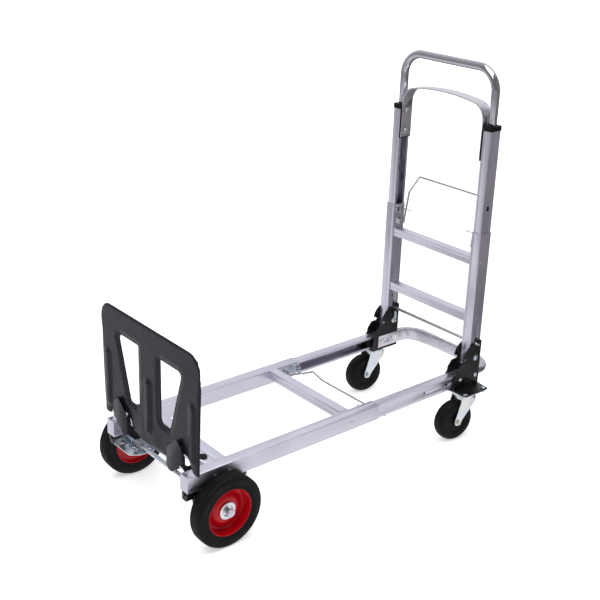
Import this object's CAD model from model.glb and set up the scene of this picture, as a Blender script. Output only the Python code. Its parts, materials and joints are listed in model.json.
"""Convertible hand truck: looks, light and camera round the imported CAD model."""

import json
import math

import bmesh
import bpy
from mathutils import Matrix, Vector


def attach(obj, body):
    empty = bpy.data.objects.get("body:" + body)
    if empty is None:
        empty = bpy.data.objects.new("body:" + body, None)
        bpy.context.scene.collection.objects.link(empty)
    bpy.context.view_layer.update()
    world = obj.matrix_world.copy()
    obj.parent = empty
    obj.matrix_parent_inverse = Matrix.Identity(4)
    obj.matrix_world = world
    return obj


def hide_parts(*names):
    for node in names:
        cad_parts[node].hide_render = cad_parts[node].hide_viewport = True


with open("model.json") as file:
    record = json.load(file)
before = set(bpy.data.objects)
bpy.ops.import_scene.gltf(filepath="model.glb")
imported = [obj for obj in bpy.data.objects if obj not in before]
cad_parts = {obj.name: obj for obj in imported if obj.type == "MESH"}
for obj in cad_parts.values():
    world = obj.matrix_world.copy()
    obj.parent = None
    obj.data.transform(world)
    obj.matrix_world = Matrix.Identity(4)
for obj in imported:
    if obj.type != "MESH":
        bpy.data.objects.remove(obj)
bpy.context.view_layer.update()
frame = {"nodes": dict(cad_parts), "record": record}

MM = 0.001


# ---------- materials ----------


class Finish:
    """A Principled material whose colour, roughness and bump come from procedural textures."""

    def __init__(self, name, color, metallic=0.0, roughness=0.5, **sockets):
        self.material = bpy.data.materials.new(name)
        self.material.use_nodes = True
        self.tree = self.material.node_tree
        self.shader = self.tree.nodes["Principled BSDF"]
        self.coords = self.tree.nodes.new("ShaderNodeTexCoord").outputs["Object"]
        self.height = None
        self.shader.inputs["Base Color"].default_value = (*color, 1)
        self.shader.inputs["Metallic"].default_value = metallic
        self.shader.inputs["Roughness"].default_value = roughness
        for socket, value in sockets.items():
            self.shader.inputs[socket.replace("_", " ")].default_value = value

    def link(self, source, target):
        self.tree.links.new(source, target)

    def scaled(self, stretch):
        node = self.tree.nodes.new("ShaderNodeMapping")
        node.inputs["Scale"].default_value = stretch
        self.link(self.coords, node.inputs["Vector"])
        return node.outputs["Vector"]

    def noise(self, scale, stretch=(1, 1, 1), detail=3.0):
        node = self.tree.nodes.new("ShaderNodeTexNoise")
        node.inputs["Scale"].default_value = scale
        node.inputs["Detail"].default_value = detail
        self.link(self.scaled(stretch), node.inputs["Vector"])
        return node.outputs["Fac"]

    def edges(self, radius):
        """0 on flat surfaces, rising to 1 on sharp outer edges, where paint and plating wear."""
        bevel = self.tree.nodes.new("ShaderNodeBevel")
        bevel.samples = 4
        bevel.inputs["Radius"].default_value = radius
        geometry = self.tree.nodes.new("ShaderNodeNewGeometry")
        dot = self.tree.nodes.new("ShaderNodeVectorMath")
        dot.operation = "DOT_PRODUCT"
        self.link(bevel.outputs["Normal"], dot.inputs[0])
        self.link(geometry.outputs["Normal"], dot.inputs[1])
        return self.spread(dot.outputs["Value"], (0.98, 0.8), (0, 1))

    def spread(self, source, span, result):
        """Maps source from span to result, clamped."""
        node = self.tree.nodes.new("ShaderNodeMapRange")
        node.inputs["From Min"].default_value, node.inputs["From Max"].default_value = span
        node.inputs["To Min"].default_value, node.inputs["To Max"].default_value = result
        self.link(source, node.inputs["Value"])
        return node.outputs["Result"]

    def times(self, a, b):
        node = self.tree.nodes.new("ShaderNodeMath")
        node.operation = "MULTIPLY"
        self.link(a, node.inputs[0])
        self.link(b, node.inputs[1])
        return node.outputs["Value"]

    def tint(self, source, low, high, over=None):
        """Colour from low to high by source; over is a colour output to use in place of low."""
        node = self.tree.nodes.new("ShaderNodeMix")
        node.data_type = "RGBA"
        node.inputs["A"].default_value = (*low, 1)
        node.inputs["B"].default_value = (*high, 1)
        self.link(source, node.inputs["Factor"])
        if over:
            self.link(over, node.inputs["A"])
        self.link(node.outputs["Result"], self.shader.inputs["Base Color"])
        return node.outputs["Result"]

    def rough(self, source, low, high, span=(0.3, 0.7)):
        self.link(self.spread(source, span, (low, high)), self.shader.inputs["Roughness"])

    def bump(self, source, distance, strength):
        node = self.tree.nodes.new("ShaderNodeBump")
        node.inputs["Strength"].default_value = strength
        node.inputs["Distance"].default_value = distance
        self.link(source, node.inputs["Height"])
        if self.height:
            self.link(self.height, node.inputs["Normal"])
        self.height = node.outputs["Normal"]
        self.link(self.height, self.shader.inputs["Normal"])


# stretches a noise into lines along one axis
GRAINS = {"x": (0.012, 1, 1), "y": (1, 0.012, 1), "z": (1, 1, 0.012)}


def aluminium(grain):
    """Satin anodised extrusion: fine die lines along the grain, cloudy colour, faint handling marks."""
    f = Finish("aluminium_" + grain, (0.62, 0.60, 0.69), 1.0, 0.36)
    lines = f.noise(900, GRAINS[grain], 2)
    clouds = f.noise(9, detail=4)
    f.tint(f.spread(clouds, (0.3, 0.7), (0, 1)), (0.585, 0.57, 0.665), (0.65, 0.635, 0.72))
    f.rough(f.noise(55, GRAINS[grain], 4), 0.30, 0.44)
    f.bump(lines, 0.00012, 0.35)
    return f.material


def rolled_bar():
    """Flat bar of the bow, brighter than the extrusions."""
    f = Finish("rolled_bar", (0.66, 0.65, 0.70), 1.0, 0.3)
    f.tint(f.noise(14, detail=5), (0.60, 0.59, 0.65), (0.68, 0.67, 0.72))
    f.rough(f.noise(70, (1, 1, 0.2), 4), 0.24, 0.38)
    f.bump(f.noise(600, (0.3, 1, 1), 2), 0.0001, 0.3)
    return f.material


def zinc():
    """Blue-white passivated zinc: spangled patches with a bluish and a yellowish cast."""
    f = Finish("zinc", (0.62, 0.68, 0.74), 1.0, 0.28)
    cast = f.noise(28, detail=4)
    f.tint(f.spread(cast, (0.35, 0.65), (0, 1)), (0.58, 0.68, 0.80), (0.74, 0.74, 0.70))
    f.rough(f.noise(120, detail=4), 0.18, 0.36)
    f.bump(f.noise(700, detail=2), 0.0001, 0.25)
    return f.material


def powder_coat(name, low, high, roughness, worn, shine):
    """Powder coat with orange peel; a little metal shows at worn edges."""
    f = Finish(name, low, 0.0, roughness, Specular_IOR_Level=shine)
    body = f.tint(f.spread(f.noise(20, detail=5), (0.3, 0.7), (0, 1)), low, high)
    wear = f.times(f.edges(0.0012), f.spread(f.noise(160, detail=5), (0.45, 0.7), (0, worn)))
    f.tint(wear, low, (0.35, 0.34, 0.36), over=body)
    f.rough(f.noise(45, detail=3), roughness - 0.06, roughness + 0.08)
    f.bump(f.noise(650, detail=2), 0.0001, 0.25)
    return f.material


def moulded(name, color, roughness):
    """Moulded plastic with a fine matt grain."""
    f = Finish(name, color, 0.0, roughness, Specular_IOR_Level=0.07)
    f.tint(f.noise(35, detail=3), color, tuple(1.5 * c for c in color))
    f.rough(f.noise(60, detail=3), roughness - 0.07, roughness + 0.09)
    f.bump(f.noise(1100, detail=2), 0.0001, 0.4)
    return f.material


def rubber(name, color, dusty):
    """Satin black rubber with a fine grain and faint paler dust."""
    f = Finish(name, color, 0.0, 0.55, Specular_IOR_Level=0.12)
    f.tint(f.spread(f.noise(16, detail=6), (0.4, 0.75), (0, 1)), color, dusty)
    f.rough(f.noise(40, detail=4), 0.46, 0.66)
    f.bump(f.noise(900, detail=3), 0.00015, 0.5)
    return f.material


def red_enamel():
    """Glossy red paint under a thin clear coat, darker where its edges wear."""
    f = Finish(
        "red_enamel", (0.46, 0.001, 0.007), 0.0, 0.2,
        Coat_Weight=0.2, Coat_Roughness=0.06, Specular_IOR_Level=0.15)
    body = f.tint(f.noise(18, detail=3), (0.43, 0.001, 0.006), (0.50, 0.002, 0.010))
    wear = f.times(f.edges(0.001), f.spread(f.noise(200, detail=4), (0.55, 0.75), (0, 0.5)))
    f.tint(wear, (0.5, 0, 0), (0.30, 0.02, 0.02), over=body)
    f.rough(f.noise(50, detail=3), 0.16, 0.27)
    f.bump(f.noise(300, detail=2), 0.0001, 0.25)
    return f.material


def chrome():
    """Polished tube of the two handles."""
    f = Finish("chrome", (0.43, 0.43, 0.47), 1.0, 0.08)
    f.tint(f.noise(10, detail=3), (0.41, 0.41, 0.45), (0.45, 0.45, 0.49))
    f.rough(f.noise(90, detail=5), 0.05, 0.13)
    f.bump(f.noise(500, detail=2), 0.00005, 0.15)
    return f.material


def wire():
    """Plated wire, duller than the zinc plates."""
    f = Finish("wire", (0.42, 0.42, 0.45), 1.0, 0.4)
    f.tint(f.noise(60, detail=3), (0.38, 0.38, 0.41), (0.46, 0.46, 0.49))
    f.rough(f.noise(150, detail=3), 0.34, 0.48)
    f.bump(f.noise(900, detail=2), 0.00008, 0.3)
    return f.material


ALUMINIUM = {axis: aluminium(axis) for axis in "xyz"}
WIRE = wire()
BY_SLOT = {
    "aluminium": ALUMINIUM["x"],
    "bow_aluminium": rolled_bar(),
    "zinc": zinc(),
    "charcoal_paint": powder_coat(
        "charcoal_coat", (0.008, 0.007, 0.0125), (0.012, 0.0105, 0.0175), 0.27, 0.10, 0.16),
    "black_paint": powder_coat(
        "black_coat", (0.0035, 0.0035, 0.0045), (0.008, 0.008, 0.009), 0.30, 0.12, 0.3),
    "black_plastic": moulded("black_plastic", (0.005, 0.005, 0.006), 0.38),
    "bumper_rubber": rubber("bumper_rubber", (0.005, 0.005, 0.005), (0.010, 0.010, 0.010)),
    "tyre_rubber": rubber("tyre_rubber", (0.0035, 0.0032, 0.004), (0.008, 0.0075, 0.008)),
    "red_paint": red_enamel(),
    "chrome": chrome(),
}
GRAIN_OF = {"crossbar": "y", "upright_rail": "z", "upright_slide": "z"}


def material_of(node, slot):
    if node in ("base_bail", "upright_bail", "release_rod"):
        return WIRE
    if node.startswith("wheel_axle"):
        return ALUMINIUM["y"]
    if slot != "aluminium":
        return BY_SLOT[slot]
    for part, axis in GRAIN_OF.items():
        if part in node:
            return ALUMINIUM[axis]
    return ALUMINIUM["x"]


SLOT_OF = {s["node"]: s["material_slot"] for s in frame["record"]["subparts"]}


def add_bevel(obj, width):
    """Rounds the sharp edges of a piece."""
    bevel = obj.modifiers.new("edges", "BEVEL")
    bevel.width = width
    bevel.segments = 2
    bevel.limit_method = "ANGLE"
    bevel.angle_limit = math.radians(35)
    bevel.harden_normals = True


def dress(node):
    """Gives a CAD node its material, rounded edges and smooth shading."""
    obj = frame["nodes"][node]
    obj.data.materials.clear()
    obj.data.materials.append(material_of(node, SLOT_OF[node]))
    weld = obj.modifiers.new("weld", "WELD")
    weld.merge_threshold = 0.00002
    flat = obj.modifiers.new("flat", "DECIMATE")
    flat.decimate_type = "DISSOLVE"
    flat.angle_limit = math.radians(0.5)
    add_bevel(obj, 0.0006)
    obj.data.shade_smooth()


for name in frame["nodes"]:
    dress(name)


# ---------- building pieces ----------

RAIL_END_X = -575.5  # toe end of the rails, in the frame that has its origin under the middle of the box


def at(x, y, z):
    """A point in millimetres, X counted from the toe end of the rails, as a point of the scene."""
    return Vector(((x + RAIL_END_X) * MM, y * MM, z * MM))


def place(obj, body, material, slot, *stands_for, crease=35):
    """Shades a finished piece, gives it its material and hangs it on its CAD body."""
    obj.data.materials.clear()
    obj.data.materials.append(material)
    if obj.type == "MESH":
        obj.data.shade_smooth()
        obj.data.set_sharp_from_angle(angle=math.radians(crease))
    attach(obj, body)
    if stands_for:
        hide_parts(*stands_for)
    return obj


def from_bmesh(name, bm):
    """Makes an object of a finished bmesh and frees it."""
    bmesh.ops.recalc_face_normals(bm, faces=bm.faces)
    mesh = bpy.data.meshes.new(name)
    bm.to_mesh(mesh)
    bm.free()
    obj = bpy.data.objects.new(name, mesh)
    bpy.context.scene.collection.objects.link(obj)
    return obj


def frame_of(axis):
    """Rotation that takes +Z to axis."""
    return Vector(axis).to_track_quat("Z", "Y").to_matrix().to_4x4()


def spin(bm, profile, centre, axis, steps=64):
    """Adds the closed ring made by turning profile, a list of (radius, offset along axis) in mm."""
    place_at = Matrix.Translation(centre) @ frame_of(axis)
    rings = []
    for k in range(steps):
        a = 2 * math.pi * k / steps
        rings.append([
            bm.verts.new(place_at @ Vector((r * MM * math.cos(a), r * MM * math.sin(a), s * MM)))
            for r, s in profile
        ])
    n = len(profile)
    for k in range(steps):
        one, two = rings[k], rings[(k + 1) % steps]
        for i in range(n):
            j = (i + 1) % n
            bm.faces.new((one[i], one[j], two[j], two[i]))


def disc_stack(bm, levels, centre, axis, steps=32, turn=0.0):
    """Adds a solid through levels, a list of (radius, offset) in mm, closed at both ends."""
    place_at = Matrix.Translation(centre) @ frame_of(axis)
    rings = [
        [
            bm.verts.new(place_at @ Vector((
                r * MM * math.cos(2 * math.pi * k / steps + turn),
                r * MM * math.sin(2 * math.pi * k / steps + turn), s * MM)))
            for k in range(steps)
        ]
        for r, s in levels
    ]
    for one, two in zip(rings, rings[1:]):
        for k in range(steps):
            j = (k + 1) % steps
            bm.faces.new((one[k], one[j], two[j], two[k]))
    bm.faces.new(rings[0])
    bm.faces.new(rings[-1])


def hex_bolt(bm, centre, axis, across=13.0, head=4.5, washer=0.0):
    """Adds a hex head with a chamfered top, and a washer under it, standing on centre."""
    r = across / math.sqrt(3)
    base = 0.0
    if washer:
        disc_stack(bm, [(washer, 0), (washer, 1.1), (washer - 0.4, 1.5)], centre, axis)
        base = 1.5
    disc_stack(bm, [(r, base), (r, base + head * 0.8), (r * 0.88, base + head)], centre, axis, 6, 0.3)
    disc_stack(bm, [(r * 0.8, base + head * 0.8), (r * 0.8, base + head + 0.1)], centre, axis, 24)


def dome(bm, centre, axis, r, height):
    """Adds a domed rivet head."""
    levels = [(r, 0), (r, height * 0.25)]
    levels += [(r * math.cos(a), height * (0.25 + 0.75 * math.sin(a))) for a in (0.35, 0.7, 1.05, 1.35)]
    disc_stack(bm, levels, centre, axis, 28)


def tube(name, paths, radius, body, material, slot, *stands_for):
    """Round wires or tubes along paths of points."""
    curve = bpy.data.curves.new(name, "CURVE")
    curve.dimensions = "3D"
    curve.bevel_depth = radius * MM
    curve.bevel_resolution = 5
    curve.use_fill_caps = True
    for path in paths:
        spline = curve.splines.new("POLY")
        spline.points.add(len(path) - 1)
        for point, p in zip(spline.points, path):
            point.co = (*p, 1)
    obj = bpy.data.objects.new(name, curve)
    bpy.context.scene.collection.objects.link(obj)
    return place(obj, body, material, slot, *stands_for)


def helix(start, axis, radius, length, turns):
    """Points along a coil spring whose axis starts at start; its last turns lie flat."""
    flat_ends = 0.6
    m = Matrix.Translation(start) @ frame_of(axis)
    steps = int(turns * 20)
    points = []
    for k in range(steps + 1):
        t = k / steps * turns
        rise = min(max((t - flat_ends) / (turns - 2 * flat_ends), 0), 1)
        a = 2 * math.pi * t
        spot = Vector((radius * MM * math.cos(a), radius * MM * math.sin(a), rise * length * MM))
        points.append(m @ spot)
    return points


def rounded(points, per_corner=6):
    """Outline with each corner (x, y, radius) turned into an arc."""
    out = []
    n = len(points)
    for i, (x, y, r) in enumerate(points):
        q = Vector((x, y))
        u = (Vector(points[i - 1][:2]) - q).normalized()
        w = (Vector(points[(i + 1) % n][:2]) - q).normalized()
        if r <= 0:
            out.append(q)
            continue
        half = math.acos(max(-1, min(1, u.dot(w)))) / 2
        reach = r / math.tan(half)
        c = q + (u + w).normalized() * (r / math.sin(half))
        a0 = math.atan2(*((q + u * reach - c).yx))
        a1 = math.atan2(*((q + w * reach - c).yx))
        sweep = (a1 - a0 + math.pi) % (2 * math.pi) - math.pi
        turns = [a0 + sweep * k / per_corner for k in range(per_corner + 1)]
        out += [c + r * Vector((math.cos(a), math.sin(a))) for a in turns]
    return out


def sheet(bm, outline, holes, to_world):
    """Adds the flat face inside outline and outside holes; to_world maps (a, b) to a point."""
    edges = []
    for loop in [outline, *holes]:
        verts = [bm.verts.new(to_world(*p)) for p in loop]
        edges += [bm.edges.new((v, verts[(i + 1) % len(verts)])) for i, v in enumerate(verts)]
    bmesh.ops.triangle_fill(bm, edges=edges, use_beauty=True, use_dissolve=False)


def thicken(bm, faces, offset):
    """Gives flat faces a thickness by extruding them along offset."""
    out = bmesh.ops.extrude_face_region(bm, geom=faces, use_keep_orig=True)
    moved = [v for v in out["geom"] if isinstance(v, bmesh.types.BMVert)]
    bmesh.ops.translate(bm, verts=moved, vec=offset)


def cut_plate(bm, outline, holes, to_world, offset):
    """Adds a flat plate of any outline with holes, thickened along offset."""
    part = bmesh.new()
    sheet(part, outline, holes, to_world)
    thicken(part, list(part.faces), offset)
    mesh = bpy.data.meshes.new("part")
    part.to_mesh(mesh)
    part.free()
    bm.from_mesh(mesh)
    bpy.data.meshes.remove(mesh)


def ring_of(x, y, r, steps=20):
    """Outline of a round hole."""
    angles = [2 * math.pi * k / steps for k in range(steps)]
    return [(x + r * math.cos(a), y + r * math.sin(a)) for a in angles]


# ---------- toe plate ----------

TOE_X, TOE_T, TOE_TOP = 12.3, 3.0, 548.0  # front plane, gauge and top edge of the sheet
DEEPEST = 4.3  # no deeper, so that the sheet stays off the rails when the plate is folded
TOE_OUTLINE = [
    (-230, 548, 46), (230, 548, 46), (222, 217, 12), (196, 222, 12), (176, 259, 16), (96, 255, 16),
    (76, 216, 12), (-76, 216, 12), (-96, 255, 16), (-176, 259, 16), (-196, 222, 12), (-222, 217, 12)]
TOE_WINDOW = [(50.5, 299, 16), (50.5, 477, 5), (148, 477, 14), (94, 299, 12)]


def ease(t):
    """Smooth step from 0 to 1."""
    t = max(0.0, min(1.0, t))
    return t * t * (3 - 2 * t)


def line_distance(p, a, b):
    """Distance of p from the line between a and b."""
    ab = b - a
    t = max(0.0, min(1.0, (p - a).dot(ab) / ab.length_squared))
    return (p - a - t * ab).length


def polygon_distance(p, outline):
    return min(line_distance(p, a, b) for a, b in zip(outline, outline[1:] + outline[:1]))


def toe_relief(y, z, border, windows):
    """How far the pressed plate stands back from its front plane at (y, z), in mm."""
    p = Vector((abs(y), z))
    # round the windows the sheet is pressed back, most under the top border
    hollow = DEEPEST * (1 - ease((min(polygon_distance(p, w) for w in windows) - 6) / 6))
    # beads pressed forward: one at each side and one in the middle
    side = 5.0 * (1 - ease((line_distance(p, Vector((197, 402)), Vector((197, 262))) - 7) / 9))
    middle = 6.0 * (1 - ease((line_distance(p, Vector((0, 388)), Vector((0, 262))) - 8) / 8))
    # the middle flares out towards the foot
    foot = 2.5 * ease((300 - z) / 60) * (1 - ease((p.x - 30) / 40))
    # folded rim
    t = max(0.0, 1 - polygon_distance(Vector((y, z)), border) / 5.5)
    rim = 4.6 * (1 - math.sqrt(1 - min(t, 0.995) ** 2)) * (0.6 if z > TOE_TOP - 60 else 1)
    return min(hollow - side - middle - foot + rim, DEEPEST)


def toe_plate():
    """Pressed toe sheet: its outline cut into a fine grid, then pushed back and forth by the relief."""
    border = rounded(TOE_OUTLINE, 10)
    window = rounded(TOE_WINDOW, 8)
    mirrored = [Vector((-p.x, p.y)) for p in window]
    bm = bmesh.new()
    sheet(bm, border, [window, mirrored], lambda y, z: Vector((0, y, z)))
    step = 6.0
    for axis, low, high in (((0, 1, 0), -228, 228), ((0, 0, 1), 220, 546)):
        for k in range(int(low / step), int(high / step) + 1):
            everything = bm.verts[:] + bm.edges[:] + bm.faces[:]
            bmesh.ops.bisect_plane(bm, geom=everything, plane_co=Vector(axis) * (k * step), plane_no=axis)
    for v in bm.verts:
        _, y, z = v.co
        v.co = at(TOE_X + toe_relief(y, z, border, [window]), y, z)
    obj = from_bmesh("toe_sheet", bm)
    if sum(p.normal.x * p.area for p in obj.data.polygons) > 0:
        obj.data.flip_normals()
    solid = obj.modifiers.new("gauge", "SOLIDIFY")
    solid.thickness = TOE_T * MM
    solid.offset = -1
    return place(obj, "toe", BY_SLOT["charcoal_paint"], "charcoal_paint", "toe_plate", crease=50)


toe_plate()


# ---------- load wheels ----------

SIDES = {"left": 1, "right": -1}
WHEEL = (97.0, 222.0, 100.0)  # centre
# outlines of half a tyre, the rim and the hub, as (radius, distance outwards from the middle)
TYRE_HALF = [
    (66, 19), (67.6, 20.6), (71, 21.3), (73.2, 21.3), (73.9, 20.5), (75.4, 20.5), (76.1, 21.4), (84, 22),
    (91, 21.7), (95.4, 20.6), (98, 18.6), (99.3, 15.8), (99.6, 12.4), (98.3, 12.0), (98.2, 10.6),
    (99.7, 10.2), (99.95, 4.4), (98.9, 4.1), (98.9, 3.1), (100, 2.8)]
RIM = [
    (66, 19), (65.2, 20.1), (64.0, 20.3), (63.1, 19.5), (62.5, 17), (61.8, 8), (61.2, 0), (60.2, -4),
    (57.6, -7.2), (54, -8.3), (49, -7.6), (44.5, -4.6), (40.5, -0.6), (37, 2.0), (32.5, 3.5), (27, 4.0),
    (22, 4.0), (22, 1.2), (27, 1.2), (32, 0.8), (36, -0.8), (39, -3), (43, -7), (48, -10.2), (54, -11),
    (59, -10.4), (61.5, -12), (62.3, -15), (63.1, -19.5), (64.0, -20.3), (65.2, -20.1), (66, -19)]
HUB = [
    (8.05, 4.5), (13.6, 4.5), (14.4, 8.6), (15.2, 9.6), (22.4, 9.4), (24.2, 8.4), (24.6, 6.6),
    (24.2, 4.6), (22, 4.0), (22, 1.2), (20.8, -1), (18, -4), (18, -21), (8.05, -21)]


def load_wheel(side):
    """Tyre, pressed rim with its rivets, turned hub and the clip on the axle's end."""
    sign = SIDES[side]
    x, y, z = WHEEL
    centre = at(x, sign * y, z)
    out = (0, sign, 0)
    for name, profile, slot in (
        ("tyre", TYRE_HALF + [(r, -s) for r, s in reversed(TYRE_HALF)], "tyre_rubber"),
        ("rim", RIM, "red_paint"),
        ("hub", HUB, "zinc"),
    ):
        bm = bmesh.new()
        spin(bm, profile, centre, out, 120)
        if name == "rim":
            # rivets that hold the two pressed halves together
            for k in range(4):
                a = math.radians(45 + 90 * k)
                spot = centre + Vector((51.5 * math.cos(a), sign * -8.2, 51.5 * math.sin(a))) * MM
                dome(bm, spot, out, 3.6, 2.0)
        obj = from_bmesh(name + "_turned_" + side, bm)
        place(obj, "wheel_" + side, BY_SLOT[slot], slot, name + "_" + side, crease=28)
    # open spring ring in the groove of the axle end
    ring = [
        centre + Vector((8.3 * math.cos(a), sign * 24.2, 8.3 * math.sin(a))) * MM
        for a in (math.radians(-60 + 30 * k) for k in range(11))
    ]
    tube("axle_clip_" + side, [ring], 0.7, "carrier_" + side, BY_SLOT["zinc"], "zinc")


for side in SIDES:
    load_wheel(side)


# ---------- casters ----------

SWIVEL, TRAIL, CASTER_R = (1010.0, 201.0), 38.0, 63.5
CASTER_TURN = -8.0  # degrees
CASTER_HALF = [
    (5.05, 21.5), (10.4, 21.5), (11, 20.9), (11.4, 17.4), (12.4, 16.8), (30, 16.8), (33.5, 17.2),
    (35.5, 18.6), (37, 19.3), (38.2, 19.3), (39, 18.7), (40.4, 18.7), (41.2, 19.5), (46, 20), (52.5, 19.6),
    (56.5, 18.2), (59.8, 15.4), (62, 11.6), (63.1, 7.4), (63.5, 3)]


def caster(side):
    """Caster wheel, its axle with bolt head and nut, and the ring round the swivel race."""
    sign = SIDES[side]
    a = math.radians(CASTER_TURN)
    axis = Vector((-math.sin(a), math.cos(a), 0))
    swivel = at(SWIVEL[0], sign * SWIVEL[1], 0)
    centre = swivel + Vector((-math.cos(a) * TRAIL, -math.sin(a) * TRAIL, CASTER_R)) * MM
    bm = bmesh.new()
    spin(bm, CASTER_HALF + [(r, -s) for r, s in reversed(CASTER_HALF)], centre, axis, 96)
    obj = from_bmesh("caster_tyre_" + side, bm)
    wheel = "caster_wheel_" + side
    place(obj, wheel, BY_SLOT["tyre_rubber"], "tyre_rubber", wheel, crease=28)
    # nut and thread end on one side, bolt head on the other
    bm = bmesh.new()
    end = axis * (25 * MM)
    hex_bolt(bm, centre - end, -axis, 12, 5.5, 7.5)
    disc_stack(bm, [(3.6, 6), (3.6, 8.5), (3.0, 9.3)], centre - end, -axis, 24)
    hex_bolt(bm, centre + end, axis, 12, 5, 7.5)
    # axle through the wheel and through both arms of the fork
    for low, high in ((-20, 20), (20, 25), (-25, -20)):
        disc_stack(bm, [(4.95, low), (4.95, high)], centre, axis, 32)
    # dust ring of the swivel race
    dust_ring = [(27.2, 141), (28.4, 142.2), (28.4, 144.4), (27.0, 145.6), (25.8, 145), (26.2, 142)]
    spin(bm, dust_ring, swivel, (0, 0, 1), 72)
    obj = from_bmesh("caster_bolt_" + side, bm)
    place(obj, "caster_" + side, BY_SLOT["zinc"], "zinc", "caster_axle_" + side)


for side in SIDES:
    caster(side)


# ---------- hinge of the upright ----------

PIVOT = (1047.0, 251.0)
PLATE_T = 4.0
OUTER_Y, INNER_Y = 194.5, 155.5  # near faces of the two plates of a hinge


def arc(cx, cy, r, a0, a1, steps):
    """Points of an arc from angle a0 to a1, in degrees."""
    angles = [math.radians(a0 + (a1 - a0) * k / steps) for k in range(steps + 1)]
    return [Vector((cx + r * math.cos(a), cy + r * math.sin(a))) for a in angles]


def hinge_outline():
    """Outline of a hinge plate about the fold axis, with a deep notch at the top and one in front."""
    tail = rounded([
        (-48, -5.4, 3), (-59, -5.8, 5), (-65, -14, 5), (-74, -24, 5), (-75, -38, 5), (-82, -43, 5),
        (-86, -59, 5), (-87.6, -88, 0), (22, -88, 0), (22, 53, 3), (15, 57, 3), (8, 55, 2)], 5)
    return (
        tail
        + [Vector((5.3, 51.5))]
        + arc(0, 40.5, 5.3, 0, -180, 12)
        + [Vector((-5.3, 48.2))]
        + arc(0, 0, 49.5, 98, 171, 26)
        + arc(-40.5, 0, 5.3, 90, -90, 12)
    )


def hinge(side):
    """The two plates of a hinge, and all the heads and nuts on them."""
    sign = SIDES[side]
    outline = hinge_outline()
    gauge = Vector((0, sign * PLATE_T * MM, 0))
    bm = bmesh.new()
    for y in (OUTER_Y, INNER_Y):
        cut_plate(bm, outline, [], lambda a, b: at(PIVOT[0] + a, sign * y, PIVOT[1] + b), gauge)
    obj = from_bmesh("hinge_cheeks_" + side, bm)
    add_bevel(obj, 0.0007)
    place(obj, "base_slider", BY_SLOT["black_paint"], "black_paint", "hinge_plates_" + side)

    bm = bmesh.new()
    outer = sign * (OUTER_Y + PLATE_T)
    outward = (0, sign, 0)
    # big shouldered pivot head, small rivet by the notch, rivets into the channel
    pivot_head = [(9.5, 0), (9.5, 1.4), (8.8, 2.0), (6.2, 2.0), (5.8, 3.2), (4.9, 3.7)]
    disc_stack(bm, pivot_head, at(PIVOT[0], outer, PIVOT[1]), outward, 36)
    dome(bm, at(1059, outer, 291), outward, 3.0, 1.6)
    rivet_head = [(6.8, 0), (6.8, 1.2), (6.2, 1.5), (4.2, 1.7), (3.8, 2.6), (2.8, 3.0)]
    for x in (1054, 988):
        disc_stack(bm, rivet_head, at(x, outer, 193), outward, 32)
    # screws of the inner plate and the bow
    for x in (1000, 1040):
        for z in (172, 206):
            dome(bm, at(x, sign * INNER_Y, z), (0, -sign, 0), 3.2, 1.4)
    for x in (998, 1036):
        hex_bolt(bm, at(x, sign * (INNER_Y - 3.6), 189), (0, -sign, 0), 11, 1.6, 8.2)
    # mounting bolts with nuts under the plate
    for x in (973, 1052):
        dome(bm, at(x, sign * 236, 163), (0, 0, 1), 6.8, 3.2)
        dome(bm, at(x, sign * 171, 163), (0, 0, 1), 5.0, 2.4)
        hex_bolt(bm, at(x, sign * 236, 155.5), (0, 0, -1), 11, 5)
        hex_bolt(bm, at(x, sign * 171, 155.5), (0, 0, -1), 11, 5)
    obj = from_bmesh("hinge_fasteners_" + side, bm)
    place(obj, "base_slider", BY_SLOT["zinc"], "zinc", crease=30)


for side in SIDES:
    hinge(side)


def release_spring(side):
    """Tension spring between the fold pin and the release rod, on the inner side of the upright."""
    sign = SIDES[side]
    y = sign * 149
    lower_hook = [at(1047, sign * 147, 251), at(1051, sign * 147, 257)]
    coil = helix(at(1047, y, 262), (0, 0, 1), 4.2, 20, 8)
    return lower_hook + coil + [at(1047, y, 283.5), at(1047, y, 285)]


tube(
    "release_coils", [release_spring(side) for side in SIDES], 0.95,
    "upright", BY_SLOT["zinc"], "zinc", "release_springs")


# ---------- bail brackets, locks and latches ----------


def base_point(along, height, y):
    """A point counted from the end of the base's outer rail: along it, up and across."""
    return at(651 + along, y, 189 + height)


def upright_point(along, height, y):
    """The same from the end of the upright's outer section; along is up and height is towards the toe."""
    return at(1044 - height, y, 647 + along)


def block(bm, low, high, to_world):
    """Adds a box between two corners given as (along, height, y)."""
    corners = [
        bm.verts.new(to_world(*(b if k >> i & 1 else a for i, (a, b) in enumerate(zip(low, high)))))
        for k in range(8)
    ]
    for face in ((0, 1, 3, 2), (4, 5, 7, 6), (0, 1, 5, 4), (2, 3, 7, 6), (0, 2, 6, 4), (1, 3, 7, 5)):
        bm.faces.new([corners[i] for i in face])


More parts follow.
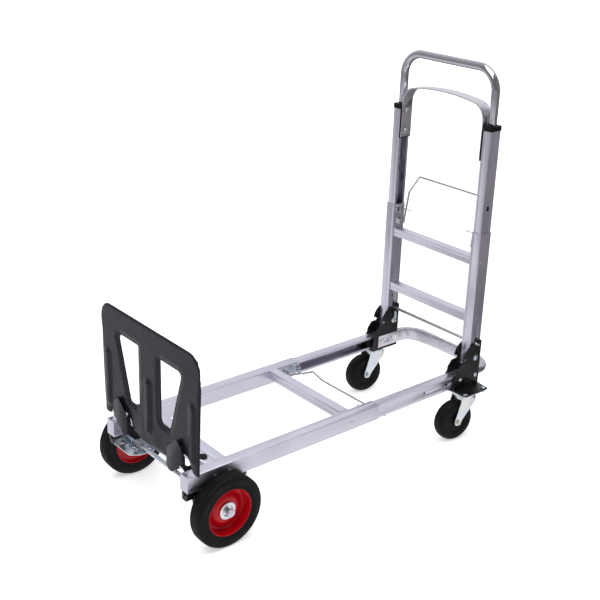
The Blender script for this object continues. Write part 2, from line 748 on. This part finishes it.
def bail_brackets(name, body, to_world):
    """On both rails the bracket a bail turns in, and its spring lock with coil and pull pin."""
    bm = bmesh.new()
    coils = []
    pins = []
    lengthwise = to_world(1, 0, 0) - to_world(0, 0, 0)
    for sign in SIDES.values():
        def spot(along, height, y, sign=sign):
            return to_world(along, height, sign * y)

        inward = spot(0, 0, 158) - spot(0, 0, 160)
        # plate and folded eye of the bail
        plate = rounded([(-68, -15, 4), (-44, -15, 4), (-44, 13, 4), (-68, 13, 4)])
        cut_plate(bm, plate, [ring_of(-49, 8, 2)], lambda a, b: spot(a, b, 160), inward)
        for y in (147, 155):
            tab = rounded([(-63, -10, 5), (-48, -10, 5), (-48, 6, 5), (-63, 6, 5)])
            cut_plate(bm, tab, [ring_of(-56, -2, 2.9)], lambda a, b: spot(a, b, y + 1.6), inward * 0.8)
        block(bm, (-63, 4.6, 147), (-48, 6, 159), spot)
        # plate, ears and barrel of the lock
        plate = rounded([(-26, -18, 3), (-2, -18, 3), (-2, 18, 3), (-26, 18, 3)])
        cut_plate(bm, plate, [ring_of(-14, 13.5, 2)], lambda a, b: spot(a, b, 160), inward)
        for along in (-24, -6.5):
            block(bm, (along, -13, 148.5), (along + 2, 13, 159), spot)
        dome(bm, spot(-14, 13.5, 158), inward, 3.6, 1.6)
        dome(bm, spot(-49, 8, 158), inward, 3.4, 1.5)
        disc_stack(bm, [(2.2, -27), (2.2, -2)], spot(0, 3, 153), lengthwise, 20)
        coils.append(helix(spot(-21.4, 3, 153), lengthwise, 4.0, 14.2, 7))
        # pull pin with a bent end
        straight = [spot(-13, -3.6, y) for y in (159, 140, 120)]
        pins.append(straight + [spot(-12, -4.4, 116.5), spot(-9, -5.2, 114.8)])
    obj = from_bmesh(name + "_plates", bm)
    place(obj, body, BY_SLOT["zinc"], "zinc", name)
    tube(name + "_coils", coils, 0.85, body, WIRE, "zinc")
    tube(name + "_pins", pins, 1.9, body, BY_SLOT["zinc"], "zinc")


bail_brackets("base_bail_brackets", "base_frame", base_point)
bail_brackets("upright_bail_brackets", "upright", upright_point)


def slider_latches():
    """Spring latch inside each channel of the upright: a small plate, its button and a bent wire."""
    bm = bmesh.new()
    wires = []
    for sign in SIDES.values():
        plate = rounded([(1044, 822, 3), (1058, 822, 3), (1060, 786, 4), (1046, 780, 3)])
        gauge = Vector((0, -sign * 1.4 * MM, 0))
        cut_plate(bm, plate, [ring_of(1050, 790, 1.6)], lambda x, z: at(x, sign * 188.6, z), gauge)
        disc_stack(bm, [(4.2, 0), (4.2, 3), (3.4, 4.2)], at(1050, sign * 187.2, 813), (0, -sign, 0), 24)
        disc_stack(bm, [(2.4, 0), (2.4, 3)], at(1050, sign * 187.2, 790), (0, -sign, 0), 20)
        wires.append([at(x, sign * y, z) for x, y, z in (
            (1050, 183.6, 818), (1056, 183, 808), (1061, 182, 794), (1056, 183, 784), (1050, 184, 780),
            (1052, 184, 770), (1058, 183, 742))])
    obj = from_bmesh("slider_latches", bm)
    place(obj, "upright_slider", BY_SLOT["zinc"], "zinc")
    tube("slider_latch_wires", wires, 1.0, "upright_slider", BY_SLOT["black_paint"], "black_paint")


slider_latches()


def upright_fasteners():
    """Bolts of the bow, rivets down the outer side of each channel, and the stop behind its slot."""
    bm = bmesh.new()
    stops = bmesh.new()
    for sign in SIDES.values():
        for z in (881, 944):
            dome(bm, at(1044, sign * 155.8, z), (0, -sign, 0), 6.6, 2.6)
        for z in (831, 886, 941):
            rivet = [(4.0, 0), (4.0, 0.45), (3.2, 0.8)]
            disc_stack(bm, rivet, at(1037, sign * 190.75, z), (0, sign, 0), 24)
        block(stops, (64, -8, sign * 186.5), (84, 12, sign * 189.3), upright_point)
    obj = from_bmesh("upright_slider_heads", bm)
    place(obj, "upright_slider", BY_SLOT["zinc"], "zinc", "upright_slider_rivets", crease=30)
    obj = from_bmesh("upright_slider_stops", stops)
    place(obj, "upright_slider", BY_SLOT["black_plastic"], "black_plastic")


upright_fasteners()


def lock_plates():
    """Zinc plates with a slot and a round hole inside the channels of the base."""
    outline = rounded([
        (853, 174, 3), (930, 174, 3), (933, 180, 4), (933, 198, 4),
        (926, 204, 4), (860, 204, 3), (853, 198, 3)])
    hole = ring_of(911, 185, 5, 28)
    slot_cut = rounded([(866, 182, 3), (890, 182, 3), (890, 190, 3), (866, 190, 3)])
    bm = bmesh.new()
    for sign in SIDES.values():
        gauge = Vector((0, -sign * 1.8 * MM, 0))
        cut_plate(bm, outline, [hole, slot_cut], lambda x, z: at(x, sign * 188.9, z), gauge)
        for x in (860, 926):
            disc_stack(bm, [(3.2, 0), (3.2, 1.0), (2.4, 1.8)], at(x, sign * 187.1, 199), (0, -sign, 0), 20)
    obj = from_bmesh("lock_plate_sheets", bm)
    place(obj, "base_slider", BY_SLOT["zinc"], "zinc", "base_lock_plates")


lock_plates()


# ---------- pedal ----------


def pedal():
    """Foot plate of the fold lock: flat sheet with ears on the rod, screws and a return spring."""
    gauge = 2.2 * MM
    bm = bmesh.new()
    outline = rounded([
        (-13, 62, 9), (14, 44, 12), (58, 44, 7), (60, 118, 3), (52, 150, 4), (-2, 150, 6), (-13, 138, 7)])
    hole = ring_of(3, 122, 5.5, 28)
    slot_cut = rounded([(14, 70, 3), (20, 70, 3), (20, 92, 3), (14, 92, 3)])
    cut_plate(bm, outline, [hole, slot_cut], lambda x, y: at(x, y, 160.6), Vector((0, 0, gauge)))
    # ears folded up round the rod
    ear = rounded([(21, 161, 0), (41, 161, 0), (38, 176, 6), (31, 180.5, 7), (24, 176, 6)])
    for y in (60, 106, 146):
        cut_plate(bm, ear, [ring_of(31, 172, 6.1, 24)], lambda x, z: at(x, y, z), Vector((0, gauge, 0)))
    # fixing screws
    for y in (58, 128):
        dome(bm, at(48, y, 162.8), (0, 0, 1), 4.5, 2.2)
    hex_bolt(bm, at(9, 105, 162.8), (0, 0, 1), 10, 4.0, 7)
    obj = from_bmesh("pedal_sheet", bm)
    add_bevel(obj, 0.0005)
    place(obj, "lock_pedal", BY_SLOT["zinc"], "zinc", "pedal_plate")
    # return spring wound on the rod, with its two legs
    coil = helix(at(31, 68, 172), (0, 1, 0), 7.6, 30, 8)
    first_leg = [at(12, 66, 165.5), at(23, 66.5, 167)]
    second_leg = [at(24, 99, 167), at(8, 101, 164.8), at(2, 101, 164.6)]
    tube("pedal_spring", [first_leg + coil + second_leg], 1.1, "lock_pedal", WIRE, "zinc")


pedal()


def toe_stops():
    """Rubber stops with their stems in the front crossbar, and a flush head behind each."""
    up = (0, 0, 1)
    pad = [(8.5, 0.2), (8.5, 1.2), (11.2, 1.6), (12, 2.2), (11.4, 3)]
    bm = bmesh.new()
    heads = bmesh.new()
    for sign in SIDES.values():
        spot = at(90, sign * 130, 212)
        disc_stack(bm, pad, spot, up, 40)
        disc_stack(bm, [(3.9, -9.8), (3.9, 0.3)], spot, up, 24)
        disc_stack(heads, [(4.5, -1), (4.5, 0.1), (3.7, 0.3)], at(110, sign * 130, 212), up, 24)
    obj = from_bmesh("toe_stop_rubbers", bm)
    place(obj, "base_frame", BY_SLOT["bumper_rubber"], "bumper_rubber", "toe_bumpers")
    obj = from_bmesh("toe_stop_nuts", heads)
    place(obj, "base_frame", BY_SLOT["zinc"], "zinc")


toe_stops()


# ---------- studio ----------


def plane(name, z):
    """A wide sheet of the studio, not part of the object."""
    bpy.ops.mesh.primitive_plane_add(size=80, location=(0, 0, z))
    obj = bpy.context.object
    obj.name = name
    return obj


def floor():
    """A white floor that glows more far away, where the lights don't reach."""
    obj = plane("floor", 0)
    obj.visible_glossy = False
    f = Finish("floor", (0.86, 0.86, 0.86), 0.0, 0.9, Specular_IOR_Level=0.1)
    f.tint(f.noise(2, detail=2), (0.84, 0.84, 0.84), (0.86, 0.86, 0.86))
    far = f.tree.nodes.new("ShaderNodeVectorMath")
    far.operation = "LENGTH"
    f.link(f.coords, far.inputs[0])
    f.shader.inputs["Emission Color"].default_value = (1, 1, 1, 1)
    f.link(f.spread(far.outputs["Value"], (1.0, 5.0), (0.50, 1.0)), f.shader.inputs["Emission Strength"])
    obj.data.materials.append(f.material)


def reflected_floor():
    """What polished metal sees below it: a pale sweep ending in a dark room, darker behind the object."""
    obj = plane("reflected_floor", 0.0004)
    obj.visible_camera = False
    obj.visible_diffuse = False
    obj.visible_shadow = False
    f = Finish("reflected_floor", (0, 0, 0), 0.0, 1.0, Specular_IOR_Level=0.0)
    far = f.tree.nodes.new("ShaderNodeVectorMath")
    far.operation = "LENGTH"
    f.link(f.coords, far.inputs[0])
    split = f.tree.nodes.new("ShaderNodeSeparateXYZ")
    f.link(f.coords, split.inputs[0])
    behind = f.spread(split.outputs["X"], (0.68, 0.90), (1.0, 0.2))
    glow = f.times(f.spread(far.outputs["Value"], (1.8, 4.5), (1.02, 0.48)), behind)
    f.tint(f.noise(1), (0, 0, 0), (0, 0, 0))
    f.shader.inputs["Emission Color"].default_value = (1, 0.985, 1, 1)
    f.link(glow, f.shader.inputs["Emission Strength"])
    obj.data.materials.append(f.material)


def backdrop():
    """White wall far round the studio, seen by the camera only."""
    obj = plane("backdrop", 0)
    bm = bmesh.new()
    bmesh.ops.create_cone(bm, segments=96, radius1=13, radius2=13, depth=9)
    bmesh.ops.translate(bm, verts=bm.verts, vec=(0, 0, 4.4))
    bm.to_mesh(obj.data)
    bm.free()
    obj.visible_glossy = False
    obj.visible_diffuse = False
    obj.visible_shadow = False
    obj.visible_transmission = False
    f = Finish("backdrop", (0, 0, 0), 0.0, 1.0, Specular_IOR_Level=0.0)
    f.tint(f.noise(1), (0, 0, 0), (0, 0, 0))
    f.shader.inputs["Emission Color"].default_value = (1, 1, 1, 1)
    f.shader.inputs["Emission Strength"].default_value = 1.0
    obj.data.materials.append(f.material)


def flag(name, x, y, turn, width, height):
    """A dark upright card that takes light away from one side; the camera doesn't see it."""
    bpy.ops.mesh.primitive_plane_add(size=1, location=(x, y, height / 2))
    obj = bpy.context.object
    obj.name = name
    obj.scale = (width, height, 1)
    obj.rotation_euler = (math.radians(90), 0, math.radians(turn))
    obj.visible_camera = False
    f = Finish(name, (0.2, 0.19, 0.19), 0.0, 0.9)
    f.tint(f.noise(2, detail=2), (0.20, 0.185, 0.185), (0.24, 0.225, 0.225))
    obj.data.materials.append(f.material)


def softbox(name, target, azimuth, elevation, distance, size, power):
    """Square area light that faces target from azimuth (0 = from -Y, 90 = from +X)."""
    a, e = math.radians(azimuth), math.radians(elevation)
    back = Vector((math.sin(a) * math.cos(e), -math.cos(a) * math.cos(e), math.sin(e)))
    data = bpy.data.lights.new(name, "AREA")
    data.size = size
    data.energy = power
    obj = bpy.data.objects.new(name, data)
    bpy.context.scene.collection.objects.link(obj)
    obj.location = target + back * distance
    obj.rotation_mode = "QUATERNION"
    obj.rotation_quaternion = (-back).to_track_quat("-Z", "Y")


def lighting():
    """Two softboxes, a card that darkens reflections, and a sky brighter behind the object."""
    middle = Vector((0, 0, 0.5))
    softbox("key", middle, -80, 54, 3.5, 2.0, 56)
    softbox("top", middle, 20, 80, 3.2, 2.2, 50)
    flag("flag_right", 1.55, -1.5, 45, 2.6, 2.4)
    world = bpy.data.worlds.new("studio")
    bpy.context.scene.world = world
    world.use_nodes = True
    tree = world.node_tree
    background = tree.nodes["Background"]
    background.inputs["Color"].default_value = (0.96, 0.97, 1, 1)
    # brighter behind the object, seen from the camera, than in front of it
    toward = tree.nodes.new("ShaderNodeVectorMath")
    toward.operation = "DOT_PRODUCT"
    toward.inputs[1].default_value = (0.60, 0.72, 0.34)
    tree.links.new(tree.nodes.new("ShaderNodeTexCoord").outputs["Generated"], toward.inputs[0])
    ramp = tree.nodes.new("ShaderNodeMapRange")
    for socket, value in zip(("From Min", "From Max", "To Min", "To Max"), (-0.2, 0.9, 0.27, 0.98)):
        ramp.inputs[socket].default_value = value
    tree.links.new(toward.outputs["Value"], ramp.inputs["Value"])
    tree.links.new(ramp.outputs["Result"], background.inputs["Strength"])


def camera():
    """Stands where the photo was taken from; lens and shift come from the fit of known shapes."""
    data = bpy.data.cameras.new("camera")
    data.sensor_width = 36
    data.lens = 63.9
    data.shift_x = 0.0091
    data.shift_y = -0.0169
    data.clip_end = 100
    obj = bpy.data.objects.new("camera", data)
    bpy.context.scene.collection.objects.link(obj)
    yaw, pitch, roll = (math.radians(a) for a in (40.22, -21.78, 1.87))
    forward = Vector((math.sin(yaw) * math.cos(pitch), math.cos(yaw) * math.cos(pitch), math.sin(pitch)))
    right = Vector((math.cos(yaw), -math.sin(yaw), 0))
    up = right.cross(forward)
    right, up = (
        right * math.cos(roll) + up * math.sin(roll),
        up * math.cos(roll) - right * math.sin(roll),
    )
    axes = Matrix((right, up, -forward)).transposed()
    obj.matrix_world = Matrix.Translation((-1.8446, -2.0782, 1.6243)) @ axes.to_4x4()
    bpy.context.scene.camera = obj


floor()
reflected_floor()
backdrop()
lighting()
camera()
bpy.context.scene.view_settings.view_transform = "Standard"
